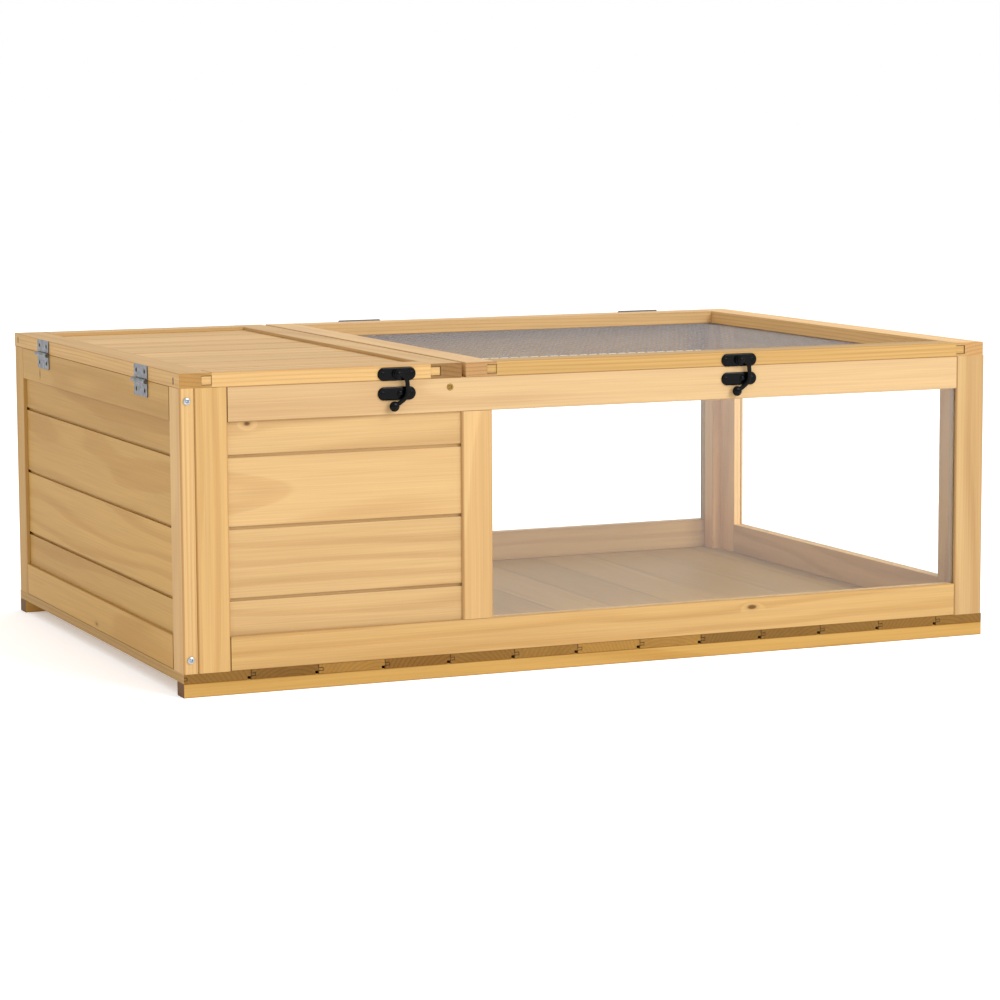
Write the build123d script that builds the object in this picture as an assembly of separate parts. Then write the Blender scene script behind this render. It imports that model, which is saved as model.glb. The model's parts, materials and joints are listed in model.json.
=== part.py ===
from build123d import *
import os

# Tortoise enclosure: a boarded sleeping room on the left and a windowed run on the right.
# Millimetres, +X to the right, +Y to the rear, +Z up.
# The origin is on the ground at the centre of the footprint.

# Overall size of the box, without hinges and catches
LENGTH = 920.0
DEPTH = 620.0
WALL_H = 285.0

# Planed frame members
MEMBER_T = 15.0
STILE_W = 35.0
RAIL_W = 35.0
STILE_ARRIS = 2.5
RAIL_ARRIS = 1.0
INNER_ARRIS = 0.8
TENON_L = 10.5
GROOVE_D = 11.0
FIT = 0.15

# Tongue and groove boards
BOARD_W = 72.0
BOARD_T = 8.5
BOARD_LIP = 3.5
TONGUE_T = 3.0
TONGUE_L = 5.0
TONGUE_END = 0.5
CHANNEL_W = 3.3
BOARD_GAP = 0.2
SHORTEST_BOARD = 7.0
FIRST_BOARD = 73.0
SEAT = 1.0

# Skids and floor
SKID_W = 22.0
SKID_H = 14.5
FLOOR_T = 9.5
FLOOR_FIRST = 70.0
SKID_ARRIS = 1.0

# Clear panes
PANE_T = 3.0
PANE_LIP = 3.0
PANE_GROOVE_D = 8.0
PANE_HOLD = 7.0

# Sleeping room and divider
HIDE_FRONT_W = 251.0
MID_STILE_W = 34.0
DIVIDER_T = 15.0
DIVIDER_SETBACK = 5.5
DOOR_W = 160.0
DOOR_H = 185.0
DOOR_CORNER = 60.0
DOOR_SILL = 12.0

# Right end wall and corner post
SIDE_STILE_W = 38.0
SIDE_INSET = 10.0
POST_DEPTH = 22.0
POST_SHORT = 2.0

# Lids
LID_T = 15.0
LID_STILE_W = 34.0
LID_SPACING = 5.0
LID_SHORT = 2.0
LID_FIRST_BOARD = 54.0
MESH_T = 1.2
MESH_EDGE = 15.0
MESH_RIGHT_EDGE = 8.0
MESH_COLUMNS = 12
MESH_ROWS = 12
MESH_STRAND = 3.0

# Butt hinges
HINGE_L = 45.0
REAR_HINGE_L = 54.0
LEAF_H = 16.0
REAR_LEAF_H = 17.5
HINGE_DROP = 1.0
LEAF_T = 1.2
KNUCKLE_R = 2.4
KNUCKLES = 3
KNUCKLE_GAP = 0.3
KNUCKLE_SIDES = 12
PIN_R = 1.2
PIN_BORE_R = 1.35
LEAF_CORNER = 1.2
LEAF_STANDOFF = 0.1
NECK_LAP = 0.5
HINGE_INSET = 125.0
REAR_HINGE_INSET = 120.0

# Swing hook catches
PLATE_L = 41.0
PLATE_H = 13.6
PLATE_T = 2.0
PLATE_EASE = 0.7
KEEPER_DROP = 19.8
CATCH_BELOW_TOP = 8.8
HIDE_CATCH_INSET = 71.5
MESH_CATCH_SHIFT = 6.0
BOSS_R = 4.0
BOSS_TOP_R = 3.2
BOSS_H = 2.0
STUD_R = 2.2
STUD_OUT = 3.2
ARM_T = 2.2
ARM_W = 4.6
ARM_EYE_R = 4.4
ARM_REACH = 9.9
HOOK_BELOW = 1.7
HOOK_SAG = 1.0
BALL_R = 5.3
BALL_BACK = 2.0
BALL_EASE = 0.5
BALL_X = -4.5
BALL_DROP = 32.5
RIVET_R = 1.8
RIVET_HEAD_R = 3.2
RIVET_HEAD_H = 0.9
BORE_REACH = 10.0
MOVING_GAP = 0.35

# Screws: head radius, head height, shank radius, length
HINGE_SCREW = (2.7, 1.2, 1.4, 11.0)
CATCH_SCREW = (2.5, 1.2, 1.3, 11.0)
PANEL_SCREW = (3.6, 2.2, 1.8, 50.0)
DIVIDER_SCREW = (3.7, 2.4, 1.8, 34.0)
ROUND_SIDES = 8
SCREW_RIM = 0.3
CROWN = 0.6
HINGE_SCREW_SPREAD = 0.62
HINGE_SCREW_HEIGHT = 0.6
CATCH_SCREW_SPREAD = 31.0
PANEL_SCREW_TOP = 12.5
PANEL_SCREW_BOTTOM = 14.0
DIVIDER_SCREW_DROP = 9.5

# Places worked out from the sizes above
LEFT = -LENGTH / 2
RIGHT = LENGTH / 2
FRONT = -DEPTH / 2
REAR = DEPTH / 2
FLOOR_Z = SKID_H + FLOOR_T
TOP_Z = FLOOR_Z + WALL_H
LID_TOP = TOP_Z + LID_T
REACH = GROOVE_D - SEAT
BOARDS_LOW = RAIL_W - REACH
FRONT_WALL_L = LENGTH - MEMBER_T
OPENING_TOP = WALL_H - RAIL_W
BOARDS_HIGH = OPENING_TOP + REACH
MID_STILE_A = STILE_W + HIDE_FRONT_W
WINDOW_A = MID_STILE_A + MID_STILE_W
RIGHT_STILE_A = FRONT_WALL_L - STILE_W
SIDE_OUTER = RIGHT - SIDE_INSET
SIDE_INNER = SIDE_OUTER - MEMBER_T
SIDE_L = DEPTH - 2 * MEMBER_T - POST_DEPTH
DIVIDER_X = LEFT + MEMBER_T + MID_STILE_A - DIVIDER_SETBACK - DIVIDER_T
HIDE_LID_RIGHT = LEFT + MEMBER_T + MID_STILE_A
MESH_LID_LEFT = HIDE_LID_RIGHT + LID_SPACING
MESH_LID_RIGHT = RIGHT - LID_SHORT
HINGE_Z = TOP_Z - HINGE_DROP
LEAF_FACE = KNUCKLE_R + LEAF_STANDOFF

UP = (Align.CENTER, Align.CENTER, Align.MIN)

pieces = {}


def block(x0, x1, y0, y1, z0, z1):
    """A square-edged box between two corners."""
    size = (x1 - x0, y1 - y0, z1 - z0)
    centre = ((x0 + x1) / 2, (y0 + y1) / 2, (z0 + z1) / 2)
    return Pos(*centre) * Box(*size)


def section(width, thick, arris):
    """Section of a planed member: outer face at y = 0, its edges rounded more than the inner ones."""
    outline = Rectangle(width, thick, align=(Align.MIN, Align.MIN))
    outer = [v for v in outline.vertices() if v.Y < thick / 2]
    outline = fillet(outer, min(arris, thick * 0.4, width * 0.4))
    inner = [v for v in outline.vertices() if v.Y > thick - 0.01]
    return fillet(inner, min(INNER_ARRIS, thick * 0.2))


def upright(a, width, height, thick=MEMBER_T, arris=STILE_ARRIS):
    """A member that stands along Z, in the frame of a wall whose outer face is y = 0."""
    return extrude(Pos(a, 0, 0) * section(width, thick, arris), amount=height)


def crosswise(a0, a1, b, width):
    """A member that lies along X at height b, in the same frame."""
    plane = Plane(origin=(a1, 0, b), x_dir=(0, 0, 1), z_dir=(-1, 0, 0))
    return extrude(plane * section(width, MEMBER_T, RAIL_ARRIS), amount=a1 - a0)


def board_layer(a0, a1, b0, b1, slack=0.0):
    """A box in the layer of a wall that holds boards and tenons."""
    return block(a0, a1, BOARD_LIP - slack, BOARD_LIP + BOARD_T + slack, b0, b1)


def pane_layer(a0, a1, b0, b1, slack=0.0):
    """A box in the layer of a wall that holds the clear pane."""
    return block(a0, a1, PANE_LIP - slack, PANE_LIP + PANE_T + slack, b0, b1)


def rail(a0, a1, b, width, groove_up, ungrooved=False):
    """A rail between two stiles, with a stub tenon at each end."""
    body = crosswise(a0, a1, b, width)
    tenon0, tenon1 = b + SEAT, b + width - SEAT
    if not ungrooved and groove_up:
        tenon1 = b + width - GROOVE_D
    elif not ungrooved:
        tenon0 = b + GROOVE_D
    tenon = board_layer(a0 - TENON_L, a1 + TENON_L, tenon0, tenon1)
    return body + (tenon - block(a0, a1, 0, MEMBER_T, b, b + width))


def board_section(low, high, thick, tongue_up, groove_down):
    """Section of one tongue and groove board from low to high, its show face at 0.

    On the show face the tongue's shoulder is set back, which leaves a square channel at each joint.
    """
    mid = thick / 2
    tongue = TONGUE_T / 2
    slot = tongue + FIT
    lower = low + BOARD_GAP / 2 if groove_down else low
    upper = high - BOARD_GAP / 2 if tongue_up else high
    bottom = lower + TONGUE_L + TONGUE_END
    tip = upper + TONGUE_L
    points = [(lower, 0)]
    if groove_down:
        points += [(lower, mid - slot), (bottom, mid - slot), (bottom, mid + slot), (lower, mid + slot)]
    points += [(lower, thick), (upper, thick)]
    if tongue_up:
        points += [(upper, mid + tongue), (tip, mid + tongue), (tip, mid - tongue)]
        points += [(upper - CHANNEL_W, mid - tongue), (upper - CHANNEL_W, 0)]
    else:
        points.append((upper, 0))
    return make_face(Polyline(*points, close=True))


def board_row(low, high, first, thick):
    """Sections of the boards that fill low to high, the first joint at first."""
    joints = []
    place = first
    while place < high - SHORTEST_BOARD:
        joints.append(place)
        place += BOARD_W
    edges = [low] + joints + [high]
    last = len(edges) - 2
    rows = []
    for i in range(last + 1):
        rows.append(board_section(edges[i], edges[i + 1], thick, i < last, i > 0))
    return rows


def boards_across(a0, a1, b0, b1, first):
    """Boards that lie along X in the board layer of a wall, one solid each."""
    plane = Plane(origin=(a1, BOARD_LIP, 0), x_dir=(0, 0, 1), z_dir=(-1, 0, 0))
    rows = board_row(b0, b1, first, BOARD_T)
    return [extrude(plane * face, amount=a1 - a0) for face in rows]


def pane(a0, a1, b0, b1):
    """A clear pane for the opening, held in the grooves on all four sides."""
    return pane_layer(a0 - PANE_HOLD, a1 + PANE_HOLD, b0 - PANE_HOLD, b1 + PANE_HOLD)


def pane_grooves(a0, a1, b0, b1):
    """The cut that receives a pane."""
    d = PANE_GROOVE_D
    return pane_layer(a0 - d, a1 + d, b0 - d, b1 + d, FIT)


def mortises(a0, a1):
    """Pockets in a stile, from its bottom end and from its top end, for the two rails' tenons."""
    return board_layer(a0, a1, 0, RAIL_W, FIT) + board_layer(a0, a1, OPENING_TOP, WALL_H, FIT)


def trench(a0, a1):
    """The cut in both rails of a wall that receives its boards."""
    return board_layer(a0, a1, RAIL_W - GROOVE_D, OPENING_TOP + GROOVE_D, FIT)


def long_wall():
    """Front wall in its own frame: outer face y = 0, left end a = 0, underside b = 0."""
    left = upright(0, STILE_W, WALL_H) - board_layer(STILE_W - GROOVE_D, STILE_W, 0, WALL_H, FIT)
    middle = upright(MID_STILE_A, MID_STILE_W, OPENING_TOP - RAIL_W)
    middle = Pos(0, 0, RAIL_W) * middle
    middle -= board_layer(MID_STILE_A, MID_STILE_A + GROOVE_D, RAIL_W, OPENING_TOP, FIT)
    window = (WINDOW_A, RIGHT_STILE_A, RAIL_W, OPENING_TOP)
    slot = pane_grooves(*window)
    middle -= slot
    tenon_end = WINDOW_A - PANE_GROOVE_D - SEAT
    tenon = board_layer(MID_STILE_A + GROOVE_D, tenon_end, RAIL_W - TENON_L, OPENING_TOP + TENON_L)
    middle += tenon - block(0, FRONT_WALL_L, 0, MEMBER_T, RAIL_W, OPENING_TOP)
    right = upright(RIGHT_STILE_A, STILE_W, WALL_H) - slot
    right -= mortises(RIGHT_STILE_A, RIGHT_STILE_A + GROOVE_D)
    grooves = trench(STILE_W, WINDOW_A - PANE_GROOVE_D) + slot
    bottom = rail(STILE_W, RIGHT_STILE_A, 0, RAIL_W, True) - grooves
    top = rail(STILE_W, RIGHT_STILE_A, OPENING_TOP, RAIL_W, False) - grooves
    boards = boards_across(STILE_W - REACH, MID_STILE_A + REACH, BOARDS_LOW, BOARDS_HIGH, FIRST_BOARD)
    return {
        "left_stile": left,
        "mid_stile": middle,
        "right_stile": right,
        "bottom_rail": bottom,
        "top_rail": top,
        "wall_boards": boards,
        "window": pane(*window),
    }


def left_wall():
    """Left end wall in its own frame: a runs from the rear edge to the front edge."""
    far = DEPTH - STILE_W
    grooves = trench(STILE_W - GROOVE_D, far + GROOVE_D)
    rear = upright(0, STILE_W, WALL_H) - board_layer(STILE_W - GROOVE_D, STILE_W, 0, WALL_H, FIT)
    front = upright(far, STILE_W, WALL_H) - board_layer(far, far + GROOVE_D, 0, WALL_H, FIT)
    bottom = rail(STILE_W, far, 0, RAIL_W, True) - grooves
    top = rail(STILE_W, far, OPENING_TOP, RAIL_W, False) - grooves
    boards = boards_across(STILE_W - REACH, far + REACH, BOARDS_LOW, BOARDS_HIGH, FIRST_BOARD)
    return {
        "rear_stile": rear,
        "front_stile": front,
        "bottom_rail": bottom,
        "top_rail": top,
        "wall_boards": boards,
    }


def side_wall():
    """Right end wall in its own frame: a runs from its front edge to its rear edge."""
    far = SIDE_L - SIDE_STILE_W
    window = (SIDE_STILE_W, far, RAIL_W, OPENING_TOP)
    slot = pane_grooves(*window)
    front = upright(0, SIDE_STILE_W, WALL_H) - slot - mortises(SIDE_STILE_W - GROOVE_D, SIDE_STILE_W)
    rear = upright(far, SIDE_STILE_W, WALL_H) - slot - mortises(far, far + GROOVE_D)
    bottom = rail(SIDE_STILE_W, far, 0, RAIL_W, True) - slot
    top = rail(SIDE_STILE_W, far, OPENING_TOP, RAIL_W, False) - slot
    return {
        "front_stile": front,
        "rear_stile": rear,
        "bottom_rail": bottom,
        "top_rail": top,
        "window": pane(*window),
    }


def lid_frame(length, boarded):
    """A lid in its own frame: a to the right, b to the rear, outer face y = 0 facing up."""
    far = length - LID_STILE_W
    back = DEPTH - RAIL_W
    left = upright(0, LID_STILE_W, DEPTH, LID_T, RAIL_ARRIS)
    right = upright(far, LID_STILE_W, DEPTH, LID_T, RAIL_ARRIS)
    front = rail(LID_STILE_W, far, 0, RAIL_W, True, not boarded)
    rear = rail(LID_STILE_W, far, back, RAIL_W, False, not boarded)
    near_groove, far_groove = LID_STILE_W - GROOVE_D, far + GROOVE_D
    if boarded:
        grooves = board_layer(near_groove, far_groove, RAIL_W - GROOVE_D, back + GROOVE_D, FIT)
        left -= board_layer(near_groove, LID_STILE_W, 0, DEPTH, FIT)
        right -= board_layer(far, far_groove, 0, DEPTH, FIT)
        front -= grooves
        rear -= grooves
    else:
        for b in (0, back):
            left -= board_layer(near_groove, LID_STILE_W, b, b + RAIL_W, FIT)
            right -= board_layer(far, far_groove, b, b + RAIL_W, FIT)
    lid = {"left_stile": left, "right_stile": right, "front_rail": front, "rear_rail": rear}
    if boarded:
        side = LID_STILE_W - REACH
        first = RAIL_W + LID_FIRST_BOARD
        lid["boards"] = boards_across(side, length - side, RAIL_W - REACH, back + REACH, first)
    return lid


def place(prefix, group, location):
    """Puts the pieces of a wall or lid into the enclosure under their full names."""
    for name, shape in group.items():
        solids = shape if isinstance(shape, list) else [shape]
        pieces[prefix + "_" + name] = [location * s for s in solids]


def wire_net():
    """The wire mesh, drawn as one holed sheet with fewer and wider gaps than the real one."""
    x0 = MESH_LID_LEFT + LID_STILE_W - MESH_EDGE
    x1 = MESH_LID_RIGHT - LID_STILE_W + MESH_RIGHT_EDGE
    y0 = FRONT + RAIL_W - MESH_EDGE
    y1 = REAR - RAIL_W + MESH_EDGE
    pitch_x = (x1 - x0 - MESH_STRAND) / MESH_COLUMNS
    pitch_y = (y1 - y0 - MESH_STRAND) / MESH_ROWS
    gap = Rectangle(pitch_x - MESH_STRAND, pitch_y - MESH_STRAND)
    centre = Pos((x0 + x1) / 2, (y0 + y1) / 2)
    holes = centre * GridLocations(pitch_x, pitch_y, MESH_COLUMNS, MESH_ROWS)
    sheet = centre * Rectangle(x1 - x0, y1 - y0) - [spot * gap for spot in holes]
    return extrude(Pos(0, 0, TOP_Z - MESH_T) * sheet, amount=MESH_T)


def prism(radius, height):
    """A few-sided round bar from z = 0 to the height."""
    return extrude(RegularPolygon(radius, ROUND_SIDES), amount=height)


def countersunk(size, slack=0.0):
    """A countersunk screw: flat head at z = 0, shank down along -Z."""
    head_r, head_h, shank_r, length = size
    head = Pos(0, 0, slack) * prism(head_r + slack, -head_h - 2 * slack)
    head = chamfer(head.edges().group_by(Axis.Z)[0], head_h - SCREW_RIM)
    return head + prism(shank_r + slack, -length - slack)


def pan_head(size, slack=0.0):
    """A pan head screw: seat at z = 0, crowned head above, shank down along -Z."""
    head_r, head_h, shank_r, length = size
    shank = prism(shank_r + slack, -length - slack)
    if slack:
        return shank
    head = prism(head_r, head_h)
    return shank + chamfer(head.edges().group_by(Axis.Z)[-1], head_h * CROWN)


def barrel(radius, length):
    """A few-sided round bar along Y, centred, with a flat towards the leaves."""
    section_plane = Plane(origin=(0, length / 2, 0), x_dir=(1, 0, 0), z_dir=(0, -1, 0))
    return extrude(section_plane * RegularPolygon(radius, KNUCKLE_SIDES), amount=length)


def hinge(length, leaf_h):
    """A butt hinge: pin along Y at the origin, leaves in the plane x = LEAF_FACE.

    Returns the lower leaf, the upper leaf and the pin.
    """
    step = length / KNUCKLES
    clear = KNUCKLE_R + MOVING_GAP
    knuckle_l = step - KNUCKLE_GAP
    leaves = []
    for side in (-1, 1):
        z0, z1 = sorted((side * clear, side * leaf_h))
        leaf = block(LEAF_FACE - LEAF_T, LEAF_FACE, -length / 2, length / 2, z0, z1)
        corners = leaf.edges().filter_by(Axis.X).group_by(Axis.Z)[0 if side < 0 else -1]
        leaf = chamfer(corners, LEAF_CORNER)
        first = 0 if side < 0 else 1
        for k in range(first, KNUCKLES, 2):
            y = -length / 2 + (k + 0.5) * step
            z0, z1 = sorted((0, side * (clear + NECK_LAP)))
            leaf += Pos(0, y, 0) * barrel(KNUCKLE_R, knuckle_l)
            leaf += block(LEAF_FACE - LEAF_T, KNUCKLE_R, y - knuckle_l / 2, y + knuckle_l / 2, z0, z1)
        leaves.append(leaf - barrel(PIN_BORE_R, length + 2))
    return leaves[0], leaves[1], barrel(PIN_R, length)


def hinge_screw_spots(length, leaf_h):
    """Along-pin places and height of the two screws of each leaf."""
    half = length * HINGE_SCREW_SPREAD / 2
    return [-half, half], leaf_h * HINGE_SCREW_HEIGHT


def plate_blank():
    """A catch plate with round ends and an eased front edge: back at y = 0, front at -PLATE_T."""
    plate = extrude(Plane.XZ * SlotOverall(PLATE_L, PLATE_H), amount=PLATE_T)
    return chamfer(plate.faces().sort_by(Axis.Y)[0].edges(), PLATE_EASE)


def rivet_bore():
    """The running hole for the rivet, through anything near y = 0."""
    return Pos(0, BORE_REACH, 0) * Rot(90, 0, 0) * prism(RIVET_R + MOVING_GAP, 2 * BORE_REACH)


def catch_plate():
    """The lid plate of a catch, with a raised boss that carries the arm."""
    boss = Pos(0, -PLATE_T, 0) * Rot(90, 0, 0) * Cone(BOSS_R, BOSS_TOP_R, BOSS_H, align=UP)
    return plate_blank() + boss - rivet_bore()


def keeper_plate():
    """The wall plate of a catch, with a stud that the hook of the arm closes around."""
    stud = Pos(STUD_OUT, -PLATE_T, 0) * Rot(90, 0, 0) * prism(STUD_R, BOSS_H)
    return plate_blank() + stud


def catch_arm():
    """The swing hook: eye on the rivet, bow to the right, hook under the stud, ball end."""
    path = [
        (0, 0),
        (ARM_REACH * 0.65, -ARM_REACH * 0.15),
        (ARM_REACH, -ARM_REACH * 0.65),
        (ARM_REACH, -KEEPER_DROP - HOOK_BELOW),
        (ARM_REACH * 0.45, -(KEEPER_DROP + BALL_DROP) / 2 - HOOK_SAG),
        (BALL_X, -BALL_DROP),
    ]
    bar = extrude(Plane.XZ * trace(Polyline(*path), ARM_W), amount=ARM_T)
    eye = Rot(90, 0, 0) * Cylinder(ARM_EYE_R, ARM_T, align=UP)
    ball = Pos(0, 0, -BALL_BACK) * prism(BALL_R, BALL_R + BALL_BACK)
    ball = chamfer(ball.edges().group_by(Axis.Z)[0], BALL_BACK)
    ball = chamfer(ball.edges().group_by(Axis.Z)[-1], BALL_R * BALL_EASE)
    ball = Pos(BALL_X, 0, -BALL_DROP) * Rot(90, 0, 0) * ball
    return Pos(0, -PLATE_T - BOSS_H - MOVING_GAP, 0) * (bar + eye + ball - rivet_bore())


def catch_rivet():
    """The rivet that holds the arm on the boss."""
    stem = PLATE_T + BOSS_H + ARM_T + 2 * MOVING_GAP
    size = (RIVET_HEAD_R, RIVET_HEAD_H, RIVET_R, stem)
    return Pos(0, -stem, 0) * Rot(90, 0, 0) * pan_head(size)


def cut(name, tool):
    """Takes a tool away from every solid of a piece that it reaches."""
    pieces[name] = [s - tool for s in pieces[name]]


# Skids and floor
for name, y in (("skid_front", FRONT), ("skid_rear", REAR - SKID_W)):
    skid = block(LEFT, RIGHT, y, y + SKID_W, 0, SKID_H)
    pieces[name] = [chamfer(skid.edges().filter_by(Axis.X), SKID_ARRIS)]
floor_plane = Plane(origin=(LEFT, REAR, SKID_H), x_dir=(1, 0, 0), z_dir=(0, -1, 0))
floor_rows = board_row(0, LENGTH, FLOOR_FIRST, FLOOR_T)
pieces["floor_boards"] = [extrude(floor_plane * face, amount=DEPTH) for face in floor_rows]

# Walls
front_frame = Pos(LEFT + MEMBER_T, FRONT, FLOOR_Z)
place("front", long_wall(), front_frame)
for name in [n for n in pieces if n.startswith("front_")]:
    twin = name.replace("front_", "rear_", 1)
    pieces[twin] = [mirror(s, about=Plane.XZ) for s in pieces[name]]
place("left", left_wall(), Pos(LEFT, REAR, FLOOR_Z) * Rot(0, 0, -90))
place("side", side_wall(), Pos(SIDE_OUTER, FRONT + MEMBER_T, FLOOR_Z) * Rot(0, 0, 90))
post_y = REAR - MEMBER_T - POST_DEPTH
post = block(RIGHT - STILE_W, SIDE_OUTER, post_y, REAR - MEMBER_T, FLOOR_Z, TOP_Z - POST_SHORT)
post_edge = post.edges().filter_by(Axis.Z).sort_by(Axis.X)[:2].sort_by(Axis.Y)[0]
pieces["corner_post"] = [fillet(post_edge, STILE_ARRIS)]

# Divider with its doorway
divider = block(DIVIDER_X, DIVIDER_X + DIVIDER_T, FRONT + MEMBER_T, REAR - MEMBER_T, FLOOR_Z, TOP_Z)
door_mid = FLOOR_Z + DOOR_SILL + DOOR_H / 2
door = Rectangle(DOOR_W, DOOR_H)
door = fillet(door.vertices().group_by(Axis.Y)[-1], min(DOOR_CORNER, DOOR_W * 0.45, DOOR_H * 0.9))
door_plane = Plane(origin=(DIVIDER_X, 0, door_mid), x_dir=(0, 1, 0), z_dir=(1, 0, 0))
divider -= extrude(door_plane * door, amount=DIVIDER_T)
pieces["divider_panel"] = [divider]

# Lids
face_up = Rot(-90, 0, 0)
hide_lid_l = HIDE_LID_RIGHT - LEFT
mesh_lid_l = MESH_LID_RIGHT - MESH_LID_LEFT
place("hide_lid", lid_frame(hide_lid_l, True), Pos(LEFT, FRONT, LID_TOP) * face_up)
place("mesh_lid", lid_frame(mesh_lid_l, False), Pos(MESH_LID_LEFT, FRONT, LID_TOP) * face_up)
pieces["wire_mesh"] = [wire_net()]

# Hinges, their screws and the holes for them
for name in ("hinge_wall_leaves", "hide_hinge_leaves", "mesh_hinge_leaves", "hinge_pins"):
    pieces[name] = []
for name in ("hinge_screws_wall", "hinge_screws_hide_lid", "hinge_screws_mesh_lid"):
    pieces[name] = []
side_spots = [Location((LEFT, s * (DEPTH / 2 - HINGE_INSET), HINGE_Z)) for s in (-1, 1)]
rear_xs = (MESH_LID_LEFT + REAR_HINGE_INSET, MESH_LID_RIGHT - REAR_HINGE_INSET)
rear_spots = [Location((x, REAR, HINGE_Z), (0, 0, -90)) for x in rear_xs]
hinge_sets = (
    (side_spots, HINGE_L, LEAF_H, "hide", "hide_lid_left_stile", "left_top_rail"),
    (rear_spots, REAR_HINGE_L, REAR_LEAF_H, "mesh", "mesh_lid_rear_rail", "rear_top_rail"),
)
for spots, length, leaf_h, lid, lid_member, wall_member in hinge_sets:
    lower, upper, pin = hinge(length, leaf_h)
    along, height = hinge_screw_spots(length, leaf_h)
    for spot in spots:
        fixed = spot * Pos(-LEAF_FACE, 0, 0)
        low_leaf, high_leaf = fixed * lower, fixed * upper
        for y in along:
            for z, member in ((-height, wall_member), (height, lid_member)):
                seat = fixed * Pos(LEAF_FACE - LEAF_T, y, z) * Rot(0, -90, 0)
                screw = seat * countersunk(HINGE_SCREW)
                tool = seat * countersunk(HINGE_SCREW, FIT)
                if z < 0:
                    low_leaf -= tool
                    pieces["hinge_screws_wall"].append(screw)
                else:
                    high_leaf -= tool
                    pieces["hinge_screws_" + lid + "_lid"].append(screw)
                cut(member, tool)
        pieces["hinge_wall_leaves"].append(low_leaf)
        pieces[lid + "_hinge_leaves"].append(high_leaf)
        pieces["hinge_pins"].append(fixed * pin)

# Catches
pieces["catch_keepers"] = []
pieces["catch_screws_wall"] = []
catch_z = LID_TOP - CATCH_BELOW_TOP
catch_xs = {
    "hide": HIDE_LID_RIGHT - HIDE_CATCH_INSET,
    "mesh": (MESH_LID_LEFT + MESH_LID_RIGHT) / 2 + MESH_CATCH_SHIFT,
}
for lid, x in catch_xs.items():
    at = Pos(x, FRONT, catch_z)
    plate = at * catch_plate()
    keeper = at * Pos(0, 0, -KEEPER_DROP) * keeper_plate()
    pieces["catch_screws_" + lid + "_lid"] = []
    for side in (-1, 1):
        for drop in (0, KEEPER_DROP):
            spot = at * Pos(side * CATCH_SCREW_SPREAD / 2, -PLATE_T, -drop) * Rot(90, 0, 0)
            screw = spot * countersunk(CATCH_SCREW)
            tool = spot * countersunk(CATCH_SCREW, FIT)
            if drop:
                keeper -= tool
                pieces["catch_screws_wall"].append(screw)
                cut("front_top_rail", tool)
            else:
                plate -= tool
                pieces["catch_screws_" + lid + "_lid"].append(screw)
                cut(lid + "_lid_front_rail", tool)
    pieces[lid + "_catch_plate"] = [plate]
    pieces["catch_keepers"].append(keeper)
    pieces[lid + "_catch_arm"] = [at * catch_arm()]
    pieces[lid + "_catch_rivet"] = [at * catch_rivet()]

# Screws that hold the left end wall's stiles to its rails
pieces["frame_screws"] = []
for y, direction, stile in ((FRONT, 90, "left_front_stile"), (REAR, -90, "left_rear_stile")):
    heights = (FLOOR_Z + PANEL_SCREW_BOTTOM, TOP_Z - PANEL_SCREW_TOP)
    for z, member in zip(heights, ("left_bottom_rail", "left_top_rail")):
        seat = Pos(LEFT + MEMBER_T / 2, y, z) * Rot(direction, 0, 0)
        pieces["frame_screws"].append(seat * pan_head(PANEL_SCREW))
        tool = seat * pan_head(PANEL_SCREW, FIT)
        cut(stile, tool)
        cut(member, tool)

# Screws that hold the divider
pieces["divider_screws"] = []
for y, direction, member in ((FRONT, 90, "front_top_rail"), (REAR, -90, "rear_top_rail")):
    seat = Pos(DIVIDER_X + DIVIDER_T / 2, y, TOP_Z - DIVIDER_SCREW_DROP) * Rot(direction, 0, 0)
    pieces["divider_screws"].append(seat * countersunk(DIVIDER_SCREW))
    tool = seat * countersunk(DIVIDER_SCREW, FIT)
    cut(member, tool)
    cut("divider_panel", tool)

os.makedirs("parts", exist_ok=True)
for name, solids in pieces.items():
    body = solids[0] if len(solids) == 1 else Compound(children=solids)
    export_step(body, "parts/" + name + ".step")
print(len(pieces), "nodes,", sum(len(s) for s in pieces.values()), "solids")
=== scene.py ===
"""Looks of the tortoise enclosure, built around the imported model.

Each sub-assembly is a class that builds or dresses its pieces, each finish is a frozen dataclass,
and main() runs them in order. The sizes in fields are millimetres unless a name ends in _m.
Meshes, the frame's boxes and whatever a docstring says is in metres are in metres.
"""

import json
import logging
import math
from dataclasses import dataclass, field
from enum import Enum
from functools import reduce

import bmesh
import bpy
import numpy as np
from mathutils import Matrix, Vector


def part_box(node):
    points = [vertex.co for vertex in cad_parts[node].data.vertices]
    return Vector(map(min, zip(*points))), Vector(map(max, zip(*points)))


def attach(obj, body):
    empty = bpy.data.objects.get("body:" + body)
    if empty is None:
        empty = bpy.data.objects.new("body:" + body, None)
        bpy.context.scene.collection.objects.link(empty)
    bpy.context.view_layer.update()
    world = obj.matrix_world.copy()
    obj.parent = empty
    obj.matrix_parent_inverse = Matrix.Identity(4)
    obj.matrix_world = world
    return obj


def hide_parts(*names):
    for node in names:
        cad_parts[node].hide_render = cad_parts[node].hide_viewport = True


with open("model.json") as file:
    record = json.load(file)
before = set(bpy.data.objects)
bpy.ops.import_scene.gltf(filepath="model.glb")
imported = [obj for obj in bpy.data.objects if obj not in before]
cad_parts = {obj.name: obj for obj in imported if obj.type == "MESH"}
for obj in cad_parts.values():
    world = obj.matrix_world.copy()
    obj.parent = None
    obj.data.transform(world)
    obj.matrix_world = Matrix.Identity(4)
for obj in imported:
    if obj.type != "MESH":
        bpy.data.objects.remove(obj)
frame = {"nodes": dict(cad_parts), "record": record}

LOG = logging.getLogger("enclosure")
MM = 0.001
SEED = 11


class Axis(Enum):
    """A direction of the frame."""

    X = 0
    Y = 1
    Z = 2


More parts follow.
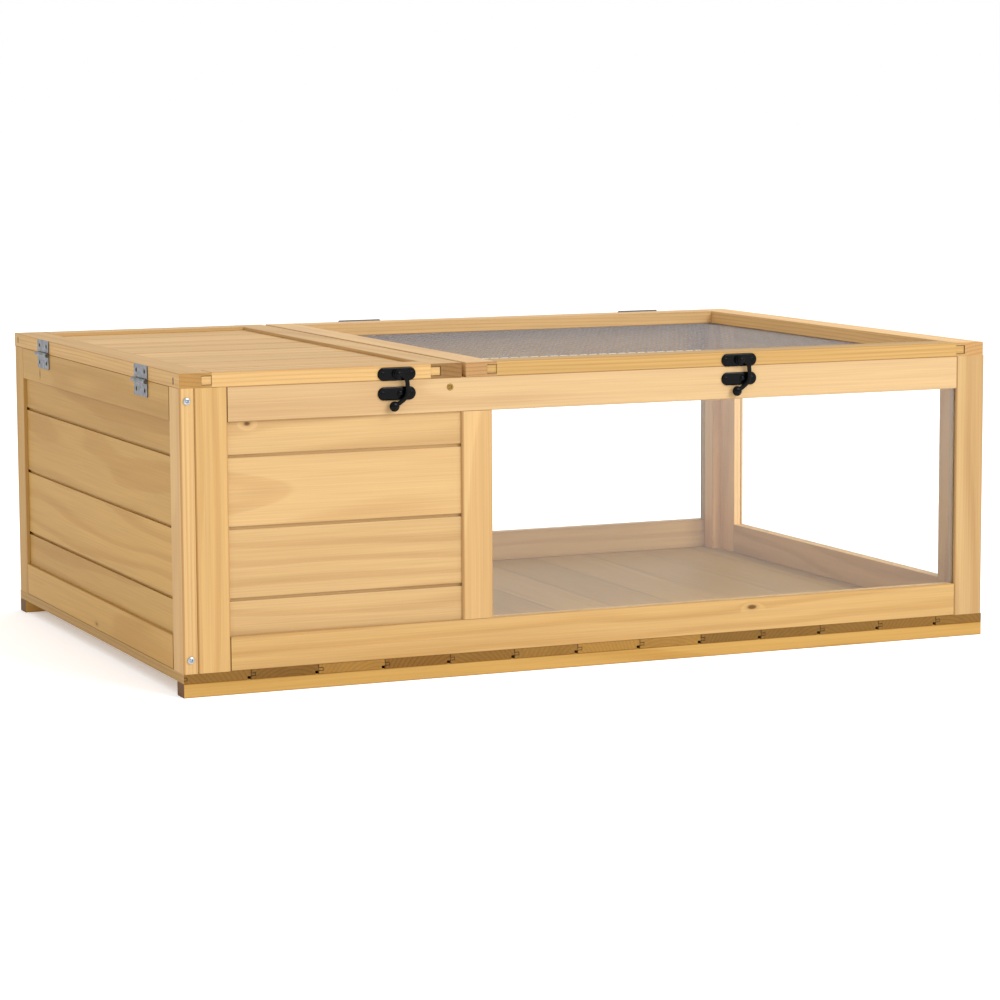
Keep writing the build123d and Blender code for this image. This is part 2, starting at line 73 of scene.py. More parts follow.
def linear(hex_colour: str) -> tuple[float, float, float, float]:
    """Turns an sRGB hex colour into a linear colour.

    Args:
        hex_colour: the colour as "#rrggbb".

    Returns:
        Linear red, green and blue, and an alpha of 1.
    """
    parts = [int(hex_colour[i:i + 2], 16) / 255 for i in (1, 3, 5)]
    bent = [c / 12.92 if c <= 0.04045 else ((c + 0.055) / 1.055) ** 2.4 for c in parts]
    return (bent[0], bent[1], bent[2], 1.0)


def add(tree: bpy.types.NodeTree, kind: str, inputs: dict | None = None, **settings) -> bpy.types.Node:
    """Adds one node with its settings, values and links.

    Args:
        tree: the tree that gets the node.
        kind: the node's type name.
        inputs: socket name or number, to a value or to the socket or flow that feeds it.
        settings: properties of the node.

    Returns:
        The new node.
    """
    node = tree.nodes.new(kind)
    for key, value in settings.items():
        setattr(node, key, value)
    for key, value in (inputs or {}).items():
        value = value.socket if isinstance(value, Flow) else value
        if isinstance(value, bpy.types.NodeSocket):
            tree.links.new(value, node.inputs[key])
        else:
            node.inputs[key].default_value = value
    return node


@dataclass(frozen=True)
class Flow:
    """A number that a node tree works out. Plain arithmetic on it adds the tree's own."""

    socket: bpy.types.NodeSocket

    def apply(self, operation: str, *others: "Flow | float") -> "Flow":
        """Puts the number, and any others, through one step of arithmetic.

        Args:
            operation: what is done, such as "FLOOR".
            others: the step's further numbers, in order.

        Returns:
            The result.
        """
        values = dict(enumerate((self, *others)))
        return Flow(add(self.socket.id_data, "ShaderNodeMath", values, operation=operation).outputs[0])

    def __add__(self, other: "Flow | float") -> "Flow":
        """Returns the sum."""
        return self.apply("ADD", other)

    def __sub__(self, other: "Flow | float") -> "Flow":
        """Returns the difference."""
        return self.apply("SUBTRACT", other)

    def __mul__(self, other: "Flow | float") -> "Flow":
        """Returns the product."""
        return self.apply("MULTIPLY", other)

    def __truediv__(self, other: "Flow | float") -> "Flow":
        """Returns the quotient."""
        return self.apply("DIVIDE", other)


def flows(node: bpy.types.Node) -> list[Flow]:
    """Returns a node's outputs as flows."""
    return [Flow(socket) for socket in node.outputs]


def largest(numbers: list[Flow]) -> Flow:
    """Returns the largest of some flows."""
    return reduce(lambda one, other: one.apply("MAXIMUM", other), numbers)


def uneven(tree: bpy.types.NodeTree, spot: tuple[Flow | float, ...], detail: float) -> Flow:
    """Makes a smooth random value that changes from place to place.

    Args:
        tree: the tree that gets it.
        spot: the place, each way already divided by the size of the patches that way.
        detail: how many finer layers it has.

    Returns:
        A number about 0.5.
    """
    at = add(tree, "ShaderNodeCombineXYZ", dict(enumerate(spot)))
    noise = add(tree, "ShaderNodeTexNoise", {"Vector": at.outputs[0], "Scale": 1.0, "Detail": detail},
                noise_dimensions="3D")
    return flows(noise)[0]


def circle(count: int) -> list[tuple[float, float]]:
    """Returns the cosine and sine of evenly spaced angles, all the way round."""
    return [(math.cos(math.tau * k / count), math.sin(math.tau * k / count)) for k in range(count)]


def new_object(name: str, mesh: bpy.types.Mesh) -> bpy.types.Object:
    """Puts a mesh into the scene as an object at the origin.

    Args:
        name: the object's name.
        mesh: its mesh, in metres, in the frame.

    Returns:
        The object.
    """
    mesh.name = name
    piece = bpy.data.objects.new(name, mesh)
    bpy.context.scene.collection.objects.link(piece)
    return piece


def finish_mesh(name: str, work: bmesh.types.BMesh,
                material: bpy.types.Material | None = None) -> bpy.types.Object:
    """Turns a work mesh into an object with its faces outwards.

    Args:
        name: the object's name.
        work: the work mesh, which is freed.
        material: what it is made of, or None where that comes later.

    Returns:
        The object.
    """
    bmesh.ops.recalc_face_normals(work, faces=work.faces[:])
    mesh = bpy.data.meshes.new(name)
    work.to_mesh(mesh)
    work.free()
    if material:
        mesh.materials.append(material)
    return new_object(name, mesh)


def hand_over(piece: bpy.types.Object, body: str, nodes: tuple[str, ...] = ()) -> None:
    """Makes a finished piece ride on its body, in place of the nodes that it stands for.

    Args:
        piece: the finished object.
        body: the body that carries it.
        nodes: the nodes that it replaces.
    """
    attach(piece, body)
    if nodes:
        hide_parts(*nodes)
    LOG.info("%s on %s, %d faces", piece.name, body, len(piece.data.polygons))


def dress_node(node: str, material: bpy.types.Material) -> bpy.types.Object:
    """Gives one of the model's own nodes its finish.

    Args:
        node: the node's name.
        material: what it is made of.

    Returns:
        The node's object.
    """
    piece = frame["nodes"][node]
    piece.data.materials.clear()
    piece.data.materials.append(material)
    return piece


def blank_material(name: str) -> tuple[bpy.types.Material, bpy.types.NodeTree]:
    """Makes a material with no nodes in it.

    Args:
        name: the material's name.

    Returns:
        The material and its tree.
    """
    material = bpy.data.materials.new(name)
    material.use_nodes = True
    material.node_tree.nodes.clear()
    return material, material.node_tree


def solids_of(node: str) -> list[np.ndarray]:
    """Splits a node's mesh into its separate solids.

    Args:
        node: the node's name.

    Returns:
        One array of points for each solid, in millimetres, in order of place.
    """
    work = bmesh.new()
    work.from_mesh(frame["nodes"][node].data)
    bmesh.ops.remove_doubles(work, verts=work.verts, dist=1e-6)
    work.verts.ensure_lookup_table()
    seen: set[int] = set()
    groups = []
    for start in work.verts:
        if start.index in seen:
            continue
        seen.add(start.index)
        queue = [start]
        for vertex in queue:
            for edge in vertex.link_edges:
                other = edge.other_vert(vertex)
                if other.index not in seen:
                    seen.add(other.index)
                    queue.append(other)
        groups.append(np.array([v.co for v in queue]) / MM)
    work.free()
    groups.sort(key=lambda points: tuple(points.mean(axis=0).round(1)))
    return groups


def bake_tree(name: str, source: bpy.types.Mesh, tree: bpy.types.NodeTree, values: dict) -> bpy.types.Object:
    """Runs a geometry tree on a mesh and returns a plain object with the result.

    Args:
        name: the finished object's name.
        source: the mesh that the tree starts from.
        tree: the geometry tree.
        values: input name to value.

    Returns:
        The finished object, without a modifier.
    """
    holder = new_object(name + "_source", source)
    modifier = holder.modifiers.new("build", "NODES")
    modifier.node_group = tree
    for item in tree.interface.items_tree:
        if item.item_type == "SOCKET" and item.in_out == "INPUT" and item.name in values:
            modifier[item.identifier] = values[item.name]
    holder.update_tag()
    bpy.context.view_layer.update()
    graph = bpy.context.evaluated_depsgraph_get()
    mesh = bpy.data.meshes.new_from_object(holder.evaluated_get(graph), depsgraph=graph)
    holder.modifiers.clear()
    bpy.data.objects.remove(holder)
    while mesh.materials and mesh.materials[0] is None:
        mesh.materials.pop(index=0)
    return new_object(name, mesh)


def geometry_tree(name: str, inputs: dict[str, str]) -> tuple[bpy.types.NodeTree, bpy.types.Node]:
    """Starts a geometry tree with named inputs.

    Args:
        name: the tree's name.
        inputs: input name to socket type, besides the geometry.

    Returns:
        The tree and its input node.
    """
    tree = bpy.data.node_groups.new(name, "GeometryNodeTree")
    tree.interface.new_socket("Geometry", in_out="INPUT", socket_type="NodeSocketGeometry")
    for key, kind in inputs.items():
        tree.interface.new_socket(key, in_out="INPUT", socket_type=kind)
    tree.interface.new_socket("Geometry", in_out="OUTPUT", socket_type="NodeSocketGeometry")
    return tree, tree.nodes.new("NodeGroupInput")


def end_tree(tree: bpy.types.NodeTree, geometry: bpy.types.NodeSocket,
             material: bpy.types.NodeSocket) -> None:
    """Ends a geometry tree by making its instances real and giving them their material.

    Args:
        tree: the geometry tree.
        geometry: what it has made.
        material: the socket that brings the material.
    """
    real = add(tree, "GeometryNodeRealizeInstances", {"Geometry": geometry})
    dressed = add(tree, "GeometryNodeSetMaterial", {"Geometry": real.outputs[0], "Material": material})
    add(tree, "NodeGroupOutput", {"Geometry": dressed.outputs[0]})


@dataclass(frozen=True)
class Grain:
    """How the wood of a piece lies: along its length, across its face and into its thickness."""

    along: Axis
    across: Axis
    depth: Axis


ALONG_X_UPRIGHT = Grain(Axis.X, Axis.Z, Axis.Y)
ALONG_X_FLAT = Grain(Axis.X, Axis.Y, Axis.Z)
ALONG_Y_UPRIGHT = Grain(Axis.Y, Axis.Z, Axis.X)
ALONG_Y_FLAT = Grain(Axis.Y, Axis.X, Axis.Z)
ALONG_Z_FRONT = Grain(Axis.Z, Axis.X, Axis.Y)
ALONG_Z_SIDE = Grain(Axis.Z, Axis.Y, Axis.X)


@dataclass(frozen=True)
class Boards:
    """The boards in a piece: where the first starts across its face, and the width of each."""

    first: float
    pitch: float


@dataclass(frozen=True)
class Tone:
    """How light and how strongly coloured one piece of timber is, 1 being the common tone; partly its own
    tone and partly painted light and shade.
    """

    value: float = 1.0
    saturation: float = 1.0


@dataclass(frozen=True)
class Knot:
    """A knot at a place in the frame, with its half size each way, in millimetres."""

    place: tuple[float, float, float]
    reach: tuple[float, float, float]
    fall_off: float = 0.7

    def strength(self, spot: list[Flow]) -> Flow:
        """Works out how near a place is to the knot.

        Args:
            spot: the place, one flow for each axis.

        Returns:
            A number that falls smoothly from 1 at the knot's heart towards 0.
        """
        shares = [(spot[i] - self.place[i]) / self.reach[i] for i in range(3)]
        x, y, z = (share * share for share in shares)
        return ((x + y + z) * -self.fall_off).apply("EXPONENT")


@dataclass(frozen=True)
class Slit:
    """A square-cornered dark line or hole in the wood, with its half size each way, in millimetres."""

    place: tuple[float, float, float]
    reach: tuple[float, float, float]

    def strength(self, spot: list[Flow]) -> Flow:
        """Returns a number that is 1 inside the slit and 0 outside it."""
        x, y, z = (spot[i].apply("COMPARE", self.place[i], self.reach[i]) for i in range(3))
        return x * y * z


@dataclass(frozen=True)
class LacqueredFir:
    """China fir, planed and sealed with clear lacquer: honey yellow, with soft darker growth lines.

    The growth rings are cylinders about a pith outside the board, so long faces get straight or
    pointed figure, as sawn timber does. An end has one even tone a board, with faint rings. The rounded
    arrises are darkened as painted shade.
    """

    early: str = "#c79e5f"
    late: str = "#b48749"
    streak: str = "#a8773a"
    # Painted shade on the rounded arrises, where the edges turn away from the light.
    arris: str = "#a06c2e"
    end_early: str = "#b58848"
    end_late: str = "#6b451b"
    knot: str = "#5f3914"
    gap: str = "#33200e"
    roughness: float = 0.5
    specular: float = 0.12

    # The rings: their width, how the log tapers, how far its pith lies from the face and to the
    # side, and how far a knot pushes them apart.
    ring_mm: float = 4.2
    taper: float = 0.004
    pith_mm: float = 12.0
    pith_spread_mm: float = 30.0
    pith_side_mm: float = 150.0
    knot_push_mm: float = 11.0
    log_mm: float = 4000.0

    # How strongly the late wood and the arrises show; the darker arrises are painted shade. A ramp gives
    # where a pattern starts to show, where it shows most, and how strongly it does there.
    late_share: float = 0.62
    arris_share: float = 0.45
    end_line_share: float = 0.2
    streak_ramp: tuple[float, float, float] = (0.5, 0.8, 0.45)
    end_ramp: tuple[float, float, float] = (0.38, 0.62, 0.85)
    knot_ramp: tuple[float, float, float] = (0.45, 0.85, 0.9)

    # The random patterns: the length and width of a patch of each, and how far it goes.
    wave_mm: tuple[float, float] = (620.0, 110.0)
    wave_bend_mm: float = 16.0
    streak_mm: tuple[float, float] = (1400.0, 8.0)
    fibre_mm: tuple[float, float] = (126.0, 1.4)
    fibre_shade: float = 0.34
    cloud_mm: tuple[float, float] = (420.0, 16.0)
    cloud_shade: float = 0.16
    board_shade: float = 0.12
    end_shade: float = 0.45
    relief: float = 0.12
    relief_mm: float = 0.4

    # Numbers that only keep the random patterns of the boards and pieces apart.
    board_salt: float = 3.7
    wave_salt: float = 50.0
    streak_salt: float = 1.7
    cloud_salt: float = 3.1
    end_salt: float = 90.0

    # How squarely a surface faces along the grain to count as an end, and how far off all three
    # axes it turns to count as an arris, which gets painted shade.
    end_facing: float = 0.8
    arris_facing: float = 0.97

    # A tongue joint on the boards' ends: the middle of each of its dark lines past the joint and
    # above the tongue's middle, with its half size each way. The seam is its line on the face.
    joint_lines: tuple[tuple[float, float, float, float], ...] = (
        (2.7, 2.7, -1.5, 0.35), (5.2, 0.35, 0.0, 1.6), (2.7, 2.7, 1.5, 0.35), (0.0, 0.5, 3.2, 1.7))
    seam_mm: float = 0.8
    seam_share: float = 0.75

    def figure(self) -> bpy.types.NodeTree:
        """Builds the figure of the wood as one shared group.

        Returns:
            A shader group from a place in the board to a colour and a height.
        """
        old = bpy.data.node_groups.get("fir_figure")
        if old:
            return old
        tree = bpy.data.node_groups.new("fir_figure", "ShaderNodeTree")
        for key in ("Along", "Across", "Depth", "End", "Arris", "First", "Pitch", "Seed", "Value",
                    "Saturation", "Knots", "Gap"):
            tree.interface.new_socket(key, in_out="INPUT", socket_type="NodeSocketFloat")
        tree.interface.new_socket("Color", in_out="OUTPUT", socket_type="NodeSocketColor")
        tree.interface.new_socket("Height", in_out="OUTPUT", socket_type="NodeSocketFloat")
        given = {socket.name: Flow(socket) for socket in tree.nodes.new("NodeGroupInput").outputs}
        across, depth, seed = given["Across"], given["Depth"], given["Seed"]

        # Three random numbers for each board: where in the log it was cut, and how dark it is.
        board = ((across - given["First"]) / given["Pitch"]).apply("FLOOR")
        middle = (board + 0.5) * given["Pitch"] + given["First"]
        key = add(tree, "ShaderNodeCombineXYZ", {0: board, 1: seed, 2: self.board_salt})
        chance = add(tree, "ShaderNodeTexWhiteNoise", {"Vector": key.outputs[0]}, noise_dimensions="3D")
        luck = flows(add(tree, "ShaderNodeSeparateColor", {0: chance.outputs["Color"]}))
        along = given["Along"] + luck[2] * self.log_mm

        # The rings, bent by the wave of the log and by the knots.
        length, width = self.wave_mm
        wave = uneven(tree, (along / length, across / width, depth / width + luck[0] * self.wave_salt), 2.0)
        side = across - middle - (luck[0] - 0.5) * self.pith_side_mm
        down = depth + (luck[1] * self.pith_spread_mm + self.pith_mm)
        radius = (side * side + down * down).apply("SQRT")
        radius = radius + (along * self.taper + (wave - 0.5) * self.wave_bend_mm)
        radius = radius + given["Knots"] * self.knot_push_mm
        line = self.ring_line(tree, (radius / self.ring_mm).apply("FRACT"))

        # Streaks along the rings, fine fibres and soft clouds.
        length, width = self.streak_mm
        streaks = uneven(tree, (along / length, radius / width, seed * self.streak_salt), 3.0)
        length, width = self.fibre_mm
        fibre = uneven(tree, (along / length, across / width, depth / width), 3.0)
        length, width = self.cloud_mm
        cloud = uneven(tree, (along / length, across / width, seed * self.cloud_salt), 2.0)

        # How dark each board's end is, how much of the streaks shows, and how much of the knots.
        weather = uneven(tree, (0.0, 0.0, luck[2] * self.end_salt), 2.0)
        worn, streaky, knotty = (
            flows(add(tree, "ShaderNodeMapRange", {0: value, 1: low, 2: high, 3: 0.0, 4: top}))[0]
            for value, (low, high, top) in (
                (weather, self.end_ramp), (streaks, self.streak_ramp), (given["Knots"], self.knot_ramp)))
        end = add(tree, "ShaderNodeMix", {
            0: line * self.end_line_share + worn,
            6: linear(self.end_early), 7: linear(self.end_late)}, data_type="RGBA")
        colour = linear(self.early)
        for share, over in (
            (line * self.late_share, linear(self.late)),
            (streaky, linear(self.streak)),
            # Painted shade on the rounded arrises.
            (given["Arris"] * self.arris_share, linear(self.arris)),
            (given["End"], end.outputs[2]),
            (knotty, linear(self.knot)),
            (given["Gap"], linear(self.gap)),
        ):
            colour = add(tree, "ShaderNodeMix", {0: share, 6: colour, 7: over}, data_type="RGBA").outputs[2]
        shade = (fibre - 0.5) * self.fibre_shade + 1.0
        shade = shade + (cloud - 0.5) * self.cloud_shade
        shade = shade + (luck[1] - 0.5) * self.board_shade
        shade = shade + (luck[2] - 0.5) * self.end_shade * given["End"]
        # The value and saturation carry each piece's tone, which is partly painted light and shade.
        final = add(tree, "ShaderNodeHueSaturation", {"Saturation": given["Saturation"],
                                                      "Value": shade * given["Value"], "Color": colour})
        add(tree, "NodeGroupOutput", {"Color": final.outputs[0], "Height": fibre * 0.5 + line})
        return tree

    def ring_line(self, tree: bpy.types.NodeTree, turn: Flow) -> Flow:
        """Shades one ring from its pale early wood to its late wood, which ends sharply.

        Args:
            tree: the group's tree.
            turn: how far a place is through its ring, from 0 to 1.

        Returns:
            How much late wood there is.
        """
        line = add(tree, "ShaderNodeValToRGB", {0: turn})
        ramp = line.color_ramp
        ramp.interpolation = "EASE"
        for i, value in enumerate((0.06, 0.1)):
            ramp.elements[i].position = i
            ramp.elements[i].color = (value, value, value, 1)
        for place, value in ((0.45, 0.12), (0.8, 0.9), (0.92, 0.75)):
            ramp.elements.new(place).color = (value, value, value, 1)
        return flows(line)[0]

    def joint_shadow(self, past: Flow, up: Flow, middle: float) -> Flow:
        """Marks the dark line round each tongue where the boards' ends show.

        Args:
            past: how far a place is past the last joint.
            up: its height.
            middle: the height of the tongues' middle.

        Returns:
            A number that is 1 on the line and 0 off it.
        """
        return largest([past.apply("COMPARE", u, half_u) * up.apply("COMPARE", middle + z, half_z)
                        for u, half_u, z, half_z in self.joint_lines])

    def material(self, name: str, grain: Grain, boards: Boards, seed: float, tone: Tone,
                 marks: tuple[Knot | Slit, ...], tongues: float | None) -> bpy.types.Material:
        """Makes the wood of one piece.

        Args:
            name: the material's name.
            grain: how the wood lies.
            boards: the boards that it is made of.
            seed: what sets this piece's figure apart from the others.
            tone: how light and how strongly coloured this piece is, which holds painted light and shade as
                well as its own tone.
            marks: the knots and dark slits that show in it.
            tongues: the height of the tongues' middle, or None where no joint shows on an end.

        Returns:
            The material.
        """
        material, tree = blank_material(name)
        where = tree.nodes.new("ShaderNodeTexCoord").outputs
        scaled = add(tree, "ShaderNodeVectorMath", {0: where["Object"], "Scale": 1 / MM}, operation="SCALE")
        spot = flows(add(tree, "ShaderNodeSeparateXYZ", {0: scaled.outputs[0]}))
        facing = [turned.apply("ABSOLUTE")
                  for turned in flows(add(tree, "ShaderNodeSeparateXYZ", {0: where["Normal"]}))]
        along, across, depth = (axis.value for axis in (grain.along, grain.across, grain.depth))
        end = facing[along].apply("GREATER_THAN", self.end_facing)
        knots = [mark.strength(spot) for mark in marks if isinstance(mark, Knot)]
        dark = [mark.strength(spot) for mark in marks if isinstance(mark, Slit)]
        if tongues is not None:
            past = spot[across].apply("WRAP", boards.first + boards.pitch, boards.first) - boards.first
            seam = past.apply("LESS_THAN", self.seam_mm) * self.seam_share
            dark += [self.joint_shadow(past, spot[depth], tongues) * end, seam]
        figure = add(tree, "ShaderNodeGroup", {
            "Along": spot[along],
            "Across": spot[across],
            "Depth": spot[depth],
            "End": end,
            # The arris mask: where the painted shade of the rounded edges goes.
            "Arris": largest(facing).apply("LESS_THAN", self.arris_facing),
            "First": boards.first,
            "Pitch": boards.pitch,
            "Seed": seed,
            "Value": tone.value,
            "Saturation": tone.saturation,
            "Knots": largest(knots) if knots else 0.0,
            "Gap": largest(dark) if dark else 0.0,
        }, node_tree=self.figure())
        relief = add(tree, "ShaderNodeBump", {"Strength": self.relief, "Distance": self.relief_mm * MM,
                                              "Height": figure.outputs["Height"]})
        shader = add(tree, "ShaderNodeBsdfPrincipled", {
            "Base Color": figure.outputs["Color"],
            "Roughness": self.roughness,
            "Specular IOR Level": self.specular,
            "Normal": relief.outputs[0],
        })
        add(tree, "ShaderNodeOutputMaterial", {"Surface": shader.outputs[0]})
        return material


@dataclass(frozen=True)
class MetalFinish:
    """Plated or enamelled metal, with fine marks and a slightly uneven sheen."""

    name: str
    colour: str
    dull: str
    roughness: float
    mark_mm: float = 1.2
    metallic: float = 1.0
    specular: float = 0.5
    relief: float = 0.08
    relief_mm: float = 0.2
    cloud_scale: float = 0.35
    fine_scale: float = 2.0
    sheen_range: tuple[float, float] = (0.75, 1.3)

    def material(self) -> bpy.types.Material:
        """Makes the finish once, and afterwards finds it again.

        Returns:
            The material.
        """
        old = bpy.data.materials.get(self.name)
        if old:
            return old
        material, tree = blank_material(self.name)
        where = tree.nodes.new("ShaderNodeTexCoord").outputs["Object"]
        scaled = add(tree, "ShaderNodeVectorMath", {0: where, "Scale": 1 / MM / self.mark_mm},
                     operation="SCALE").outputs[0]
        cloud = add(tree, "ShaderNodeTexNoise", {"Vector": scaled, "Scale": self.cloud_scale, "Detail": 4.0})
        colour = add(tree, "ShaderNodeMix", {
            0: cloud.outputs[0], 6: linear(self.colour), 7: linear(self.dull)}, data_type="RGBA")
        smooth, rough = self.sheen_range
        gloss = add(tree, "ShaderNodeMapRange", {0: cloud.outputs[0], 1: 0.3, 2: 0.7,
                                                 3: self.roughness * smooth, 4: self.roughness * rough})
        fine = add(tree, "ShaderNodeTexNoise", {"Vector": scaled, "Scale": self.fine_scale, "Detail": 2.0})
        bump = add(tree, "ShaderNodeBump", {"Strength": self.relief, "Distance": self.relief_mm * MM,
                                            "Height": fine.outputs[0]})
        shader = add(tree, "ShaderNodeBsdfPrincipled", {
            "Base Color": colour.outputs[2],
            "Metallic": self.metallic,
            "Roughness": gloss.outputs[0],
            "Specular IOR Level": self.specular,
            "Normal": bump.outputs[0],
        })
        add(tree, "ShaderNodeOutputMaterial", {"Surface": shader.outputs[0]})
        return material


@dataclass(frozen=True)
class ClearAcrylic:
    """Cast acrylic sheet, polished and clear: it shows only as a faint sheen over what is behind."""

    tint: str = "#fdfefe"
    ior: float = 1.49
    specular: float = 0.25

    def material(self) -> bpy.types.Material:
        """Makes the acrylic once, and afterwards finds it again.

        Returns:
            The material.
        """
        old = bpy.data.materials.get("clear_cast_acrylic")
        if old:
            return old
        material, tree = blank_material("clear_cast_acrylic")
        shader = add(tree, "ShaderNodeBsdfPrincipled", {
            "Base Color": linear(self.tint),
            "Roughness": 0.0,
            "IOR": self.ior,
            "Specular IOR Level": self.specular,
            "Transmission Weight": 1.0,
        })
        add(tree, "ShaderNodeOutputMaterial", {"Surface": shader.outputs[0]})
        return material


FIR = LacqueredFir()
# Bright zinc plate on the frame's screws and the staples: pale silver, with a soft patchy shine.
ZINC = MetalFinish("bright_zinc_plate", "#c3c7cb", "#94999e", 0.32)
# Dull zinc plate on the hinges: mid grey, and darker where it has gone dull.
HINGE_ZINC = MetalFinish("dull_zinc_plate", "#808285", "#56585c", 0.38)
# Zinc coated wire: pale grey and nearly matt, so the net looks like a light veil.
GALVANISED = MetalFinish("zinc_coated_wire", "#a8a9a9", "#8c8d8e", 0.45, metallic=0.35, specular=0.2)
# Black enamel, stoved onto the pressed catches: deep black, small highlights, a slightly wavy skin.
BLACK_ENAMEL = MetalFinish("black_stoved_enamel", "#020202", "#050505", 0.16, mark_mm=3.0, metallic=0.0,
                           specular=0.1, relief=0.5)
# Yellow passivated steel: a dull gold screw.
BRASS = MetalFinish("yellow_passivated_steel", "#a8864a", "#6b4f24", 0.4)
# Bronzed steel: dark brown screws in the hinges.
BRONZED = MetalFinish("bronzed_screw_steel", "#55492f", "#2c2415", 0.4)
ACRYLIC = ClearAcrylic()


def tenon_lines(tip: float, shoulder: float) -> tuple[Slit, ...]:
    """Returns the dark lines round a lid rail's tenon, where it shows in the ends of a stile.

    Args:
        tip: where the tenon ends along X.
        shoulder: where the stile ends along X.

    Returns:
        For each end, the line above the tenon, the one below it and the one at its tip.
    """
    end, top, foot = 310.0, 320.6, 312.0
    line, tip_line, tip_height, skin = 0.4, 0.5, 4.6, 1.0
    middle, half = (tip + shoulder) / 2, abs(tip - shoulder) / 2
    lines = []
    for y in (-end, end):
        lines += [Slit((middle, y, z), (half, skin, line)) for z in (top, foot)]
        lines.append(Slit((tip, y, (top + foot) / 2), (tip_line, skin, tip_height)))
    return tuple(lines)


@dataclass
class Timber:
    """All the wooden pieces: which way each one's grain runs, and its tone and knots.

    A piece takes the first tone whose name its own name starts with. The tones hold painted light and shade
    as well as each piece's own tone.
    """

    floor_z: float = 24.0
    board: float = 72.0
    wall_first: float = 73.0
    floor_first: float = 70.0
    lid_first: float = 89.0
    tongue_z: float = 19.25
    whole: float = 1000.0
    seed_step: float = 1.37
    # Each tone is fitted piece by piece and holds painted light and shade as well as the piece's own tone:
    # the left wall, the floor inside and the lid's front rail are darkened as painted shade, the right side
    # wall, its rear stile and the corner post are lightened as painted light, and the lids are paler and less
    # saturated as a painted reflection.
    tones_and_painted_light: dict[str, Tone] = field(default_factory=lambda: {
        "left_top_rail": Tone(0.70, 1.05),
        "left_front_stile": Tone(0.95, 0.93),
        "left_rear_stile": Tone(0.82, 1.03),
        "left": Tone(0.78, 1.06),
        "front_left_stile": Tone(0.86, 0.96),
        "front_top_rail": Tone(0.90, 0.86),
        "front_bottom_rail": Tone(0.87, 0.97),
        "front_mid_stile": Tone(0.92, 0.92),
        "front_right_stile": Tone(0.80, 0.92),
        "front": Tone(0.87, 0.91),
        "floor": Tone(0.62, 1.04),
        "rear": Tone(0.87, 0.99),
        "side_rear_stile": Tone(1.4, 0.97),
        "side_front_stile": Tone(1.02, 1.06),
        "side": Tone(1.08, 1.0),
        "corner_post": Tone(1.3, 0.97),
        "hide_lid_left_stile": Tone(0.87, 0.98),
        "hide_lid": Tone(1.0, 0.95),
        "mesh_lid_right_stile": Tone(1.25, 0.92),
        "mesh_lid_front_rail": Tone(0.76, 1.0),
        "mesh_lid": Tone(1.1, 0.9),
        "skid": Tone(0.78, 1.06),
        "": Tone(),
    })
    marks: dict[str, tuple[Knot | Slit, ...]] = field(default_factory=lambda: {
        "front_wall_boards": (Knot((-389.1, -302, 271.3), (5, 12, 3)),),
        "front_bottom_rail": (Knot((175.2, -310, 49.7), (7, 12, 3)),),
        "left_wall_boards": (Knot((-452, -285, 75.8), (12, 6, 3)),),
        "left_bottom_rail": (Knot((-452, -4.5, 30), (12, 7, 3)),),
        "left_top_rail": (Knot((-460, 203.4, 284.5), (8, 2, 6)),),
        "hide_lid_left_stile": (
            Slit((-460, -291, 315.4), (3, 1.6, 3.4)),
            Slit((-460, 295.5, 316.7), (3, 1.6, 3.4)),
            *tenon_lines(-436.5, -426.0),
        ),
        "hide_lid_right_stile": tenon_lines(-182.5, -193.0),
        "mesh_lid_left_stile": tenon_lines(-130.5, -120.0),
        "mesh_lid_right_stile": tenon_lines(434.5, 424.0),
    })

    def grain_of(self, node: str) -> Grain:
        """Tells from a node's name how its wood lies.

        Args:
            node: the node's name.

        Returns:
            Its grain.
        """
        flat = "lid" in node or "floor" in node
        sidewise = node.startswith(("left", "side", "divider"))
        if flat:
            return ALONG_Y_FLAT if "stile" in node or "floor" in node else ALONG_X_FLAT
        if "stile" in node or "post" in node:
            return ALONG_Z_SIDE if sidewise else ALONG_Z_FRONT
        return ALONG_Y_UPRIGHT if sidewise else ALONG_X_UPRIGHT

    def boards_of(self, node: str, grain: Grain) -> Boards:
        """Finds the boards of a node. A piece that isn't boarded counts as one wide board.

        Args:
            node: the node's name.
            grain: how its wood lies.

        Returns:
            Its boards.
        """
        low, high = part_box(node)
        if node == "floor_boards":
            return Boards(low.x / MM + self.floor_first - self.board, self.board)
        if node.endswith("wall_boards"):
            return Boards(self.floor_z + self.wall_first - self.board, self.board)
        if node == "hide_lid_boards":
            return Boards(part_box("hide_lid_left_stile")[0].y / MM + self.lid_first - self.board, self.board)
        across = grain.across.value
        return Boards((low[across] + high[across]) / 2 / MM - self.whole / 2, self.whole)

    def dress(self, wood: list[str]) -> None:
        """Gives each wooden node its own piece of timber.

        Args:
            wood: the names of the wooden nodes.
        """
        for number, node in enumerate(wood):
            grain = self.grain_of(node)
            # The tone is partly the piece's own and partly painted light and shade.
            tone = next(tone for start, tone in self.tones_and_painted_light.items() if node.startswith(start))
            material = FIR.material("lacquered_fir_" + node, grain, self.boards_of(node, grain),
                                    number * self.seed_step + SEED, tone, self.marks.get(node, ()),
                                    self.tongue_z if node == "floor_boards" else None)
            dress_node(node, material)
        LOG.info("%d wooden pieces dressed", len(wood))


@dataclass
class Panes:
    """The three clear windows."""

    names: tuple[str, ...] = ("front_window", "rear_window", "side_window")

    def dress(self) -> None:
        """Gives the panes their acrylic, and lets light pass them as a clear sheet does."""
        for node in self.names:
            dress_node(node, ACRYLIC.material()).visible_shadow = False
        LOG.info("%d panes dressed", len(self.names))


@dataclass
class Hinges:
    """The butt hinges, whose leaves, knuckles and pins come from the model."""

    nodes: tuple[str, ...] = ("hinge_wall_leaves", "hide_hinge_leaves", "mesh_hinge_leaves", "hinge_pins")

    def dress(self) -> None:
        """Gives the hinges their zinc plate."""
        for node in self.nodes:
            dress_node(node, HINGE_ZINC.material())
        LOG.info("%d hinge pieces dressed", len(self.nodes))


